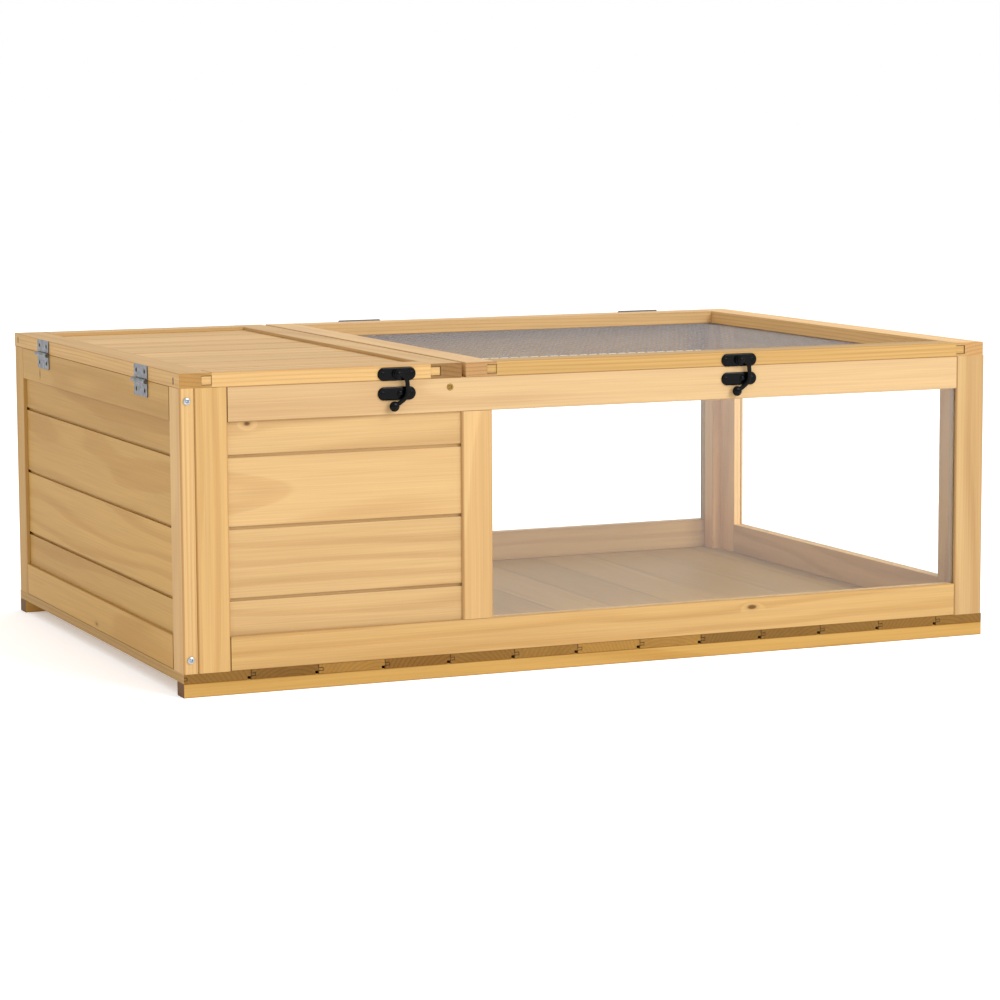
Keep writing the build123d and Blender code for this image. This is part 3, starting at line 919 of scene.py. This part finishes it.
@dataclass
class WireNet:
    """The welded wire mesh under the right lid, and the staples that hold it."""

    pitch: float = 11.9
    wire: float = 0.58
    wire_sides: int = 6
    staple_gap: float = 62.0
    staple_inset: float = 4.0
    staple_width: float = 9.0
    staple_wire: float = 1.0
    staple_flat: float = 0.55
    staple_round: float = 0.12

    def tree(self) -> bpy.types.NodeTree:
        """Builds the geometry tree of the net.

        Returns:
            A tree with two layers of straight wires, one each way.
        """
        sizes = ("Width", "Depth", "Pitch", "Wire", "Left", "Front", "Height")
        kinds = {key: "NodeSocketFloat" for key in sizes}
        tree, given = geometry_tree("welded_wire_net", {**kinds, "Material": "NodeSocketMaterial"})
        width, depth, pitch, wire, left, front, height = (Flow(given.outputs[key]) for key in sizes)
        ring = add(tree, "GeometryNodeCurvePrimitiveCircle", {"Resolution": self.wire_sides, "Radius": wire})
        both = tree.nodes.new("GeometryNodeJoinGeometry")
        for run, length, span, rise in ((0, width, depth, 1.0), (1, depth, width, -1.0)):
            step = 1 - run
            count = (span / pitch).apply("FLOOR") + 1.0
            bar = add(tree, "GeometryNodeCurvePrimitiveLine", {
                "End": add(tree, "ShaderNodeCombineXYZ", {run: length}).outputs[0]})
            body = add(tree, "GeometryNodeCurveToMesh", {
                "Curve": bar.outputs[0], "Profile Curve": ring.outputs[0], "Fill Caps": True})
            first = [left, front]
            first[step] = (span - (count - 1.0) * pitch) * 0.5 + first[step]
            start = add(tree, "ShaderNodeCombineXYZ", {0: first[0], 1: first[1], 2: height + wire * rise})
            row = add(tree, "GeometryNodeMeshLine", {
                "Count": count, "Start Location": start.outputs[0],
                "Offset": add(tree, "ShaderNodeCombineXYZ", {step: pitch}).outputs[0]})
            layer = add(tree, "GeometryNodeInstanceOnPoints", {
                "Points": row.outputs[0], "Instance": body.outputs[0]})
            tree.links.new(layer.outputs[0], both.inputs[0])
        end_tree(tree, both.outputs[0], given.outputs["Material"])
        return tree

    def build(self) -> None:
        """Makes the net in the place of its node, with its staples."""
        low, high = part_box("wire_mesh")
        values = {
            "Width": high.x - low.x,
            "Depth": high.y - low.y,
            "Pitch": self.pitch * MM,
            "Wire": self.wire * MM / 2,
            "Left": low.x,
            "Front": low.y,
            "Height": (low.z + high.z) / 2,
            "Material": GALVANISED.material(),
        }
        net = bake_tree("galvanised_wire_net", bpy.data.meshes.new("seed"), self.tree(), values)
        hand_over(net, "mesh_lid", ("wire_mesh",))
        self.build_staples(low, high)

    def build_staples(self, low: Vector, high: Vector) -> None:
        """Makes the staples along the four edges of the net.

        Args:
            low: the net's lowest corner.
            high: the net's highest corner.
        """
        inset = self.staple_inset * MM
        points, turns = [], []
        for run in (0, 1):
            span = high[run] - low[run] - 2 * inset
            count = int(span / (self.staple_gap * MM))
            for side in (low[1 - run] + inset, high[1 - run] - inset):
                for i in range(count + 1):
                    place = [0.0, 0.0, low.z]
                    place[run] = low[run] + inset + span * i / count
                    place[1 - run] = side
                    points.append(place)
                    turns.append((1.0, 0.0, 0.0) if run == 0 else (0.0, 1.0, 0.0))
        crown = bmesh.new()
        bmesh.ops.create_cube(crown, size=1.0)
        wire = self.staple_wire * MM
        bmesh.ops.scale(crown, vec=(self.staple_width * MM, wire, wire * self.staple_flat), verts=crown.verts)
        bmesh.ops.bevel(crown, geom=crown.edges[:], offset=wire * self.staple_round, segments=2,
                        affect="EDGES")
        template = finish_mesh("staple_template", crown)
        staples = scatter("net_staples", template, points, turns, Axis.X, ZINC.material())
        hand_over(staples, "mesh_lid")


def scatter_tree() -> bpy.types.NodeTree:
    """Builds the tree that puts one shape on many points, each turned to its own direction.

    Returns:
        The tree, which is made once.
    """
    old = bpy.data.node_groups.get("shape_on_points")
    if old:
        return old
    kinds = {"Shape": "NodeSocketObject", "Upright": "NodeSocketBool", "Twist": "NodeSocketFloat",
             "Seed": "NodeSocketInt", "Material": "NodeSocketMaterial"}
    tree, given = geometry_tree("shape_on_points", kinds)
    value = given.outputs
    shape = add(tree, "GeometryNodeObjectInfo", {"Object": value["Shape"]})
    direction = add(tree, "GeometryNodeInputNamedAttribute", {"Name": "direction"},
                    data_type="FLOAT_VECTOR").outputs[0]
    up, flat = (add(tree, "FunctionNodeAlignRotationToVector", {"Vector": direction}, axis=axis).outputs[0]
                for axis in "ZX")
    chosen = add(tree, "GeometryNodeSwitch", {"Switch": value["Upright"], "False": flat, "True": up},
                 input_type="ROTATION")
    turn = add(tree, "FunctionNodeRandomValue", {"Max": value["Twist"], "Seed": value["Seed"]},
               data_type="FLOAT")
    twist = add(tree, "FunctionNodeAxisAngleToRotation", {"Angle": turn.outputs[1]})
    whole = add(tree, "FunctionNodeRotateRotation", {"Rotation": chosen.outputs[0],
                                                     "Rotate By": twist.outputs[0]}, rotation_space="LOCAL")
    points = add(tree, "GeometryNodeMeshToPoints", {"Mesh": value["Geometry"]})
    copies = add(tree, "GeometryNodeInstanceOnPoints", {
        "Points": points.outputs[0],
        "Instance": shape.outputs["Geometry"],
        "Rotation": whole.outputs[0],
    })
    end_tree(tree, copies.outputs[0], value["Material"])
    return tree


def scatter(name: str, template: bpy.types.Object, points: list, directions: list, axis: Axis,
            material: bpy.types.Material, twist: float = 0.0) -> bpy.types.Object:
    """Puts copies of a shape on points, and removes the shape.

    Args:
        name: the finished object's name.
        template: the shape, at the origin.
        points: where the copies go, in metres.
        directions: where the shape's own axis points at each of them.
        axis: the shape's own axis, X or Z.
        material: what the copies are made of.
        twist: the largest random turn about the shape's own axis, in radians.

    Returns:
        The finished object.
    """
    seeds = bpy.data.meshes.new(name + "_points")
    seeds.from_pydata(points, [], [])
    attribute = seeds.attributes.new("direction", "FLOAT_VECTOR", "POINT")
    attribute.data.foreach_set("vector", np.array(directions, np.float32).ravel())
    values = {"Shape": template, "Upright": axis == Axis.Z, "Twist": twist, "Seed": SEED,
              "Material": material}
    piece = bake_tree(name, seeds, scatter_tree(), values)
    bpy.data.objects.remove(template)
    return piece


@dataclass(frozen=True)
class ScrewHead:
    """A screw head with a cross recess: flat for a countersunk screw, domed for a pan head.

    A proud head stands on the wood, so its seat lies a head's height behind its crown.
    """

    radius: float
    height: float
    dome: float
    sink: float = 0.0
    proud: bool = False
    segments: int = 40
    rings: int = 12
    crown_power: float = 2.4
    arm_share: float = 0.14
    reach_share: float = 0.62
    depth_share: float = 0.42

    def mesh(self, name: str) -> bpy.types.Object:
        """Makes the head with its crown along +Z and its seat at z = 0.

        Args:
            name: the object's name.

        Returns:
            The object, at the origin.
        """
        work = bmesh.new()
        rows = []
        top, foot_z = self.height - self.sink, -self.height * 0.5 - self.sink
        for i in range(1, self.rings + 1):
            share = i / self.rings
            row = []
            for c, s in circle(self.segments):
                x, y = self.radius * share * c, self.radius * share * s
                z = top - self.dome * share ** self.crown_power - self.recess(x, y)
                row.append(work.verts.new((x * MM, y * MM, z * MM)))
            rows.append(row)
        for z in (-self.sink, foot_z):
            rows.append([work.verts.new((self.radius * c * MM, self.radius * s * MM, z * MM))
                         for c, s in circle(self.segments)])
        centre = work.verts.new((0, 0, (top - self.recess(0, 0)) * MM))
        foot = work.verts.new((0, 0, foot_z * MM))
        for k in range(self.segments):
            after = (k + 1) % self.segments
            work.faces.new((centre, rows[0][k], rows[0][after]))
            work.faces.new((foot, rows[-1][after], rows[-1][k]))
            for lower, upper in zip(rows, rows[1:]):
                work.faces.new((lower[k], upper[k], upper[after], lower[after]))
        return finish_mesh(name, work)

    def recess(self, x: float, y: float) -> float:
        """Works out how deep the cross recess is at a place on the crown. Its walls slope.

        Args:
            x: the place across the head.
            y: the place along the head.

        Returns:
            The depth below the crown.
        """
        arm, reach = self.radius * self.arm_share, self.radius * self.reach_share
        across, along = min(abs(x), abs(y)), max(abs(x), abs(y))
        side = min(max((arm * 1.8 - across) / (arm * 0.9), 0.0), 1.0)
        end = min(max((reach - along) / (reach * 0.5), 0.0), 1.0)
        return self.radius * self.depth_share * side * end


@dataclass
class Screws:
    """All the screws, placed where the model's own screws are.

    The points of a screw that lie within head_zone of an end belong to that end.
    """

    head_zone: float = 0.6
    heads: dict[str, ScrewHead] = field(default_factory=lambda: {
        "hinge": ScrewHead(radius=2.55, height=0.5, dome=0.35, sink=0.1),
        "catch": ScrewHead(radius=2.4, height=0.5, dome=0.35, sink=0.1),
        "frame": ScrewHead(radius=3.6, height=2.2, dome=1.1, proud=True),
        "divider": ScrewHead(radius=3.6, height=0.5, dome=0.25, sink=0.15),
    })

    def place(self, points: np.ndarray) -> tuple[np.ndarray, list[float]]:
        """Finds where a screw's head is and which way it faces.

        Args:
            points: the points of one screw.

        Returns:
            The middle of the head's outer end and the direction out of the head.
        """
        low, high = points.min(axis=0), points.max(axis=0)
        axis = int(np.argmax(high - low))
        middle = (low + high) / 2
        spread = []
        for edge in (low[axis], high[axis]):
            near = points[np.abs(points[:, axis] - edge) < self.head_zone]
            spread.append(np.linalg.norm(np.delete(near - middle, axis, axis=1), axis=1).max())
        out = 1.0 if spread[1] > spread[0] else -1.0
        middle[axis] = high[axis] if out > 0 else low[axis]
        direction = [0.0, 0.0, 0.0]
        direction[axis] = out
        return middle, direction

    def build(self, node: str, kind: str, body: str, slot: str, finish: MetalFinish) -> None:
        """Makes the screws of one node.

        Args:
            node: the node that they stand for.
            kind: which head they have.
            body: the body that carries them.
            slot: the record's material slot; not used.
            finish: what they are made of.
        """
        head = self.heads[kind]
        template = head.mesh(kind + "_screw_head")
        back = head.height if head.proud else 0.0
        points, directions = [], []
        for solid in solids_of(node):
            end, out = self.place(solid)
            points.append([(e - o * back) * MM for e, o in zip(end, out)])
            directions.append(out)
        piece = scatter(node + "_heads", template, points, directions, Axis.Z, finish.material(),
                        twist=math.tau)
        hand_over(piece, body, (node,))

    def build_all(self) -> None:
        """Makes every screw of the enclosure."""
        for body in ("wall", "hide_lid", "mesh_lid"):
            carrier = "base" if body == "wall" else body
            self.build("hinge_screws_" + body, "hinge", carrier, "zinc_plate", BRONZED)
        for body in ("wall", "hide_lid", "mesh_lid"):
            carrier = "base" if body == "wall" else body
            self.build("catch_screws_" + body, "catch", carrier, "black_metal", BLACK_ENAMEL)
        self.build("frame_screws", "frame", "base", "zinc_plate", ZINC)
        self.build("divider_screws", "divider", "base", "brass", BRASS)


def swept_rings(work: bmesh.types.BMesh, rings: list[list[Vector]]) -> None:
    """Joins a row of rings with faces, and fills the first and the last.

    Args:
        work: the work mesh.
        rings: rings with the same number of points.
    """
    rows = [[work.verts.new(point) for point in ring] for ring in rings]
    count = len(rows[0])
    for lower, upper in zip(rows, rows[1:]):
        for k in range(count):
            after = (k + 1) % count
            work.faces.new((lower[k], lower[after], upper[after], upper[k]))
    work.faces.new(rows[0])
    work.faces.new(rows[-1])


@dataclass
class Catch:
    """A swing hook catch: pressed plates with rounded edges, and a cast hook with a ball end."""

    plate_length: float = 41.0
    plate_height: float = 13.6
    plate_thick: float = 2.0
    plate_sides: int = 48
    boss: float = 5.0
    stud: float = 2.2
    stud_out: float = 3.2
    knob_sides: int = 32
    seat: float = 0.2
    arm_width: float = 4.6
    arm_thick: float = 2.6
    arm_sides: int = 14
    arm_square: float = 0.7
    eye: float = 4.6
    ball: float = 5.3
    ball_flat: float = 0.74
    ball_front: float = 0.62
    rivet_radius: float = 1.8
    rivet_stem: float = 7.0
    rivet_head: float = 3.2
    rivet_dome: float = 1.4

    def stadium(self, inset: float, y: float, at: Vector) -> list[Vector]:
        """Draws one outline of the plate.

        Args:
            inset: how far it is drawn in.
            y: how far it lies from the plate's back.
            at: the centre of the plate's back, in metres.

        Returns:
            The outline's points, in metres.
        """
        radius = self.plate_height / 2 - inset
        straight = (self.plate_length - self.plate_height) / 2
        return [at + Vector((radius * c + math.copysign(straight, c + 1e-9), y, radius * s)) * MM
                for c, s in circle(self.plate_sides)]

    def turned(self, work: bmesh.types.BMesh, profile: list[tuple[float, float]], at: Vector) -> None:
        """Adds a turned knob that stands out along -Y.

        Args:
            work: the work mesh.
            profile: radius and height pairs from the back to the front.
            at: the centre of its back.
        """
        swept_rings(work, [[at + Vector((radius * c, -height, radius * s)) * MM
                            for c, s in circle(self.knob_sides)] for radius, height in profile])

    def plate(self, name: str, at: Vector, keeper: bool) -> bpy.types.Object:
        """Makes a plate with its raised middle.

        Args:
            name: the object's name.
            at: the centre of its back, in metres.
            keeper: whether it is the wall plate, with the stud.

        Returns:
            The object.
        """
        work = bmesh.new()
        # The rounded edge, as shares of the thickness: how far in and how far forward.
        edge = ((0.0, 0.0), (0.0, -0.55), (0.18, -0.8), (0.6, -1.0))
        swept_rings(work, [self.stadium(i * self.plate_thick, d * self.plate_thick, at) for i, d in edge])
        if keeper:
            aside = self.stud_out
            profile = [(self.stud * 1.7, 0), (self.stud * 1.5, 0.7), (self.stud, 0.9), (self.stud, 1.8),
                       (self.stud * 0.7, 2.1)]
        else:
            aside = 0.0
            profile = [(self.boss, 0), (self.boss, 0.9), (self.boss * 0.9, 1.5), (self.boss * 0.8, 2.0)]
        self.turned(work, profile, at + Vector((aside, self.seat - self.plate_thick, 0)) * MM)
        return finish_mesh(name, work, BLACK_ENAMEL.material())

    def arm_path(self) -> list[Vector]:
        """Draws the line of the hook from its eye to its ball, with its corners rounded.

        Returns:
            The line's points, in the plane of the plate.
        """
        corners = [(0, 0), (6.4, -1.5), (9.9, -6.4), (9.9, -21.5), (4.5, -27.1), (-4.5, -32.5)]
        points = [Vector((x, 0, z)) for x, z in corners]
        for _ in range(3):
            cut = [points[0]]
            for a, b in zip(points, points[1:]):
                cut += [a.lerp(b, 0.25), a.lerp(b, 0.75)]
            points = cut + [points[-1]]
        return points

    def squared(self, share: float, size: float) -> float:
        """Returns a share of half a size, pushed outwards so that a round section turns squarer."""
        return math.copysign(abs(share) ** self.arm_square, share) * size / 2

    def arm(self, name: str, at: Vector) -> bpy.types.Object:
        """Makes the hook.

        Args:
            name: the object's name.
            at: the pivot, in the plane of the hook's back, in metres.

        Returns:
            The object.
        """
        work = bmesh.new()
        path = self.arm_path()
        rings = []
        for i, point in enumerate(path):
            ahead = path[min(i + 1, len(path) - 1)] - path[max(i - 1, 0)]
            side = Vector((-ahead.z, 0, ahead.x)).normalized()
            ring = []
            for c, s in circle(self.arm_sides):
                rise = Vector((0, -self.arm_thick / 2 - self.squared(s, self.arm_thick), 0))
                ring.append(at + (point + side * self.squared(c, self.arm_width) + rise) * MM)
            rings.append(ring)
        swept_rings(work, rings)
        self.turned(work, [(self.eye * 0.9, 0), (self.eye, 0.4), (self.eye, self.arm_thick - 0.5),
                           (self.eye * 0.86, self.arm_thick)], at)
        centre = at + (path[-1] + Vector((0, -self.arm_thick / 2, 0))) * MM
        made = bmesh.ops.create_uvsphere(work, u_segments=28, v_segments=18, radius=self.ball * MM)
        for vertex in made["verts"]:
            vertex.co.y = min(vertex.co.y * self.ball_flat, self.ball * MM * self.ball_front)
            vertex.co += centre
        return finish_mesh(name, work, BLACK_ENAMEL.material())

    def rivet(self, name: str, at: Vector) -> bpy.types.Object:
        """Makes the domed rivet that holds the hook.

        Args:
            name: the object's name.
            at: the centre of its back, in metres.

        Returns:
            The object.
        """
        work = bmesh.new()
        profile = [(self.rivet_radius, 0), (self.rivet_radius, self.rivet_stem)]
        for degrees in range(0, 80, 15):
            angle = math.radians(degrees)
            profile.append((self.rivet_head * math.cos(angle),
                            self.rivet_stem + self.rivet_dome * math.sin(angle)))
        self.turned(work, profile, at)
        return finish_mesh(name, work, BLACK_ENAMEL.material())


@dataclass
class Catches:
    """The two catches, one for each lid, with the gap between a hook and its plate."""

    shape: Catch = field(default_factory=Catch)
    gap: float = 0.35

    def build(self) -> None:
        """Makes the plates, hooks and rivets in the place of their nodes."""
        for lid, keeper in zip(("hide", "mesh"), solids_of("catch_keepers")):
            low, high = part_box(lid + "_catch_plate")
            centre = Vector(((low.x + high.x) / 2, high.y, (low.z + high.z) / 2))
            plate = self.shape.plate(lid + "_catch_plate_pressed", centre, keeper=False)
            hand_over(plate, lid + "_lid", (lid + "_catch_plate",))
            pivot = Vector((centre.x, low.y - self.gap * MM, centre.z))
            arm = self.shape.arm(lid + "_catch_hook", pivot)
            hand_over(arm, lid + "_catch_arm", (lid + "_catch_arm",))
            rivet = self.shape.rivet(lid + "_catch_rivet_dome", centre)
            hand_over(rivet, lid + "_lid", (lid + "_catch_rivet",))
            edge = (keeper.min(axis=0) + keeper.max(axis=0)) / 2 * MM
            wall = Vector((edge[0], keeper[:, 1].max() * MM, edge[2]))
            base = self.shape.plate(lid + "_keeper_plate_pressed", wall, keeper=True)
            nodes = ("catch_keepers",) if lid == "hide" else ()
            hand_over(base, "base", nodes)


@dataclass
class Studio:
    """White floor, even white light with one soft key light, and the camera of the photograph."""

    camera_mm: tuple[float, float, float] = (-1431.57, -3364.70, 595.50)
    yaw: float = 0.4063
    pitch: float = 0.1241
    roll: float = -0.005
    lens: float = 117.3
    sensor: float = 36.0
    clip_m: float = 50.0
    floor_m: float = 60.0
    floor_glow: float = 0.3
    room_light: float = 1.0
    key_m: tuple[float, float, float] = (1.6, -3.4, 2.6)
    key_aim_m: tuple[float, float, float] = (0.0, 0.0, 0.1)
    key_size_m: float = 2.2
    key_watts: float = 140.0
    key_colour: str = "#eef4ff"

    def camera(self) -> None:
        """Places the camera at the photograph's viewing angle."""
        data = bpy.data.cameras.new("camera")
        data.lens, data.sensor_width = self.lens, self.sensor
        data.clip_end = self.clip_m
        camera = bpy.data.objects.new("camera", data)
        bpy.context.scene.collection.objects.link(camera)
        ahead = Vector((math.sin(self.yaw) * math.cos(self.pitch),
                        math.cos(self.yaw) * math.cos(self.pitch), -math.sin(self.pitch)))
        right = Vector((math.cos(self.yaw), -math.sin(self.yaw), 0))
        up = right.cross(ahead)
        across = right * math.cos(self.roll) + up * math.sin(self.roll)
        over = up * math.cos(self.roll) - right * math.sin(self.roll)
        turn = Matrix((across, over, -ahead)).transposed().to_4x4()
        camera.matrix_world = Matrix.Translation(Vector(self.camera_mm) * MM) @ turn
        bpy.context.scene.camera = camera

    def floor(self) -> None:
        """Lays a plain white floor."""
        work = bmesh.new()
        bmesh.ops.create_grid(work, x_segments=1, y_segments=1, size=self.floor_m)
        material, tree = blank_material("white_paper")
        shader = add(tree, "ShaderNodeBsdfPrincipled", {
            "Base Color": linear("#fbfbfb"),
            "Roughness": 0.9,
            "Specular IOR Level": 0.0,
            "Emission Color": (1, 1, 1, 1),
            "Emission Strength": self.floor_glow,
        })
        add(tree, "ShaderNodeOutputMaterial", {"Surface": shader.outputs[0]})
        finish_mesh("studio_floor", work, material)

    def key(self) -> None:
        """Hangs one large soft light in front, to the right."""
        data = bpy.data.lights.new("key", "AREA")
        data.energy, data.size = self.key_watts, self.key_size_m
        data.color = linear(self.key_colour)[:3]
        lamp = bpy.data.objects.new("key", data)
        bpy.context.scene.collection.objects.link(lamp)
        place = Vector(self.key_m)
        toward = Vector(self.key_aim_m) - place
        lamp.matrix_world = Matrix.Translation(place) @ toward.to_track_quat("-Z", "Y").to_matrix().to_4x4()

    def room(self) -> None:
        """Fills the room with even white light."""
        world = bpy.data.worlds.new("studio")
        bpy.context.scene.world = world
        world.use_nodes = True
        back = world.node_tree.nodes["Background"]
        back.inputs[0].default_value = (1, 1, 1, 1)
        back.inputs[1].default_value = self.room_light

    def build(self) -> None:
        """Sets up the whole studio."""
        self.camera()
        self.floor()
        self.room()
        self.key()
        settings = bpy.context.scene.view_settings
        settings.view_transform = "Standard"
        settings.look = "None"


def main() -> None:
    """Dresses the model, builds the finer pieces and sets up the studio."""
    logging.basicConfig(level=logging.INFO, format="%(name)s: %(message)s")
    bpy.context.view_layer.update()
    slots = {part["node"]: part["material_slot"] for part in frame["record"]["subparts"]}
    Timber().dress(sorted(node for node, slot in slots.items() if slot == "pine"))
    Panes().dress()
    Hinges().dress()
    WireNet().build()
    Catches().build()
    Screws().build_all()
    Studio().build()


if __name__ == "__main__":
    main()
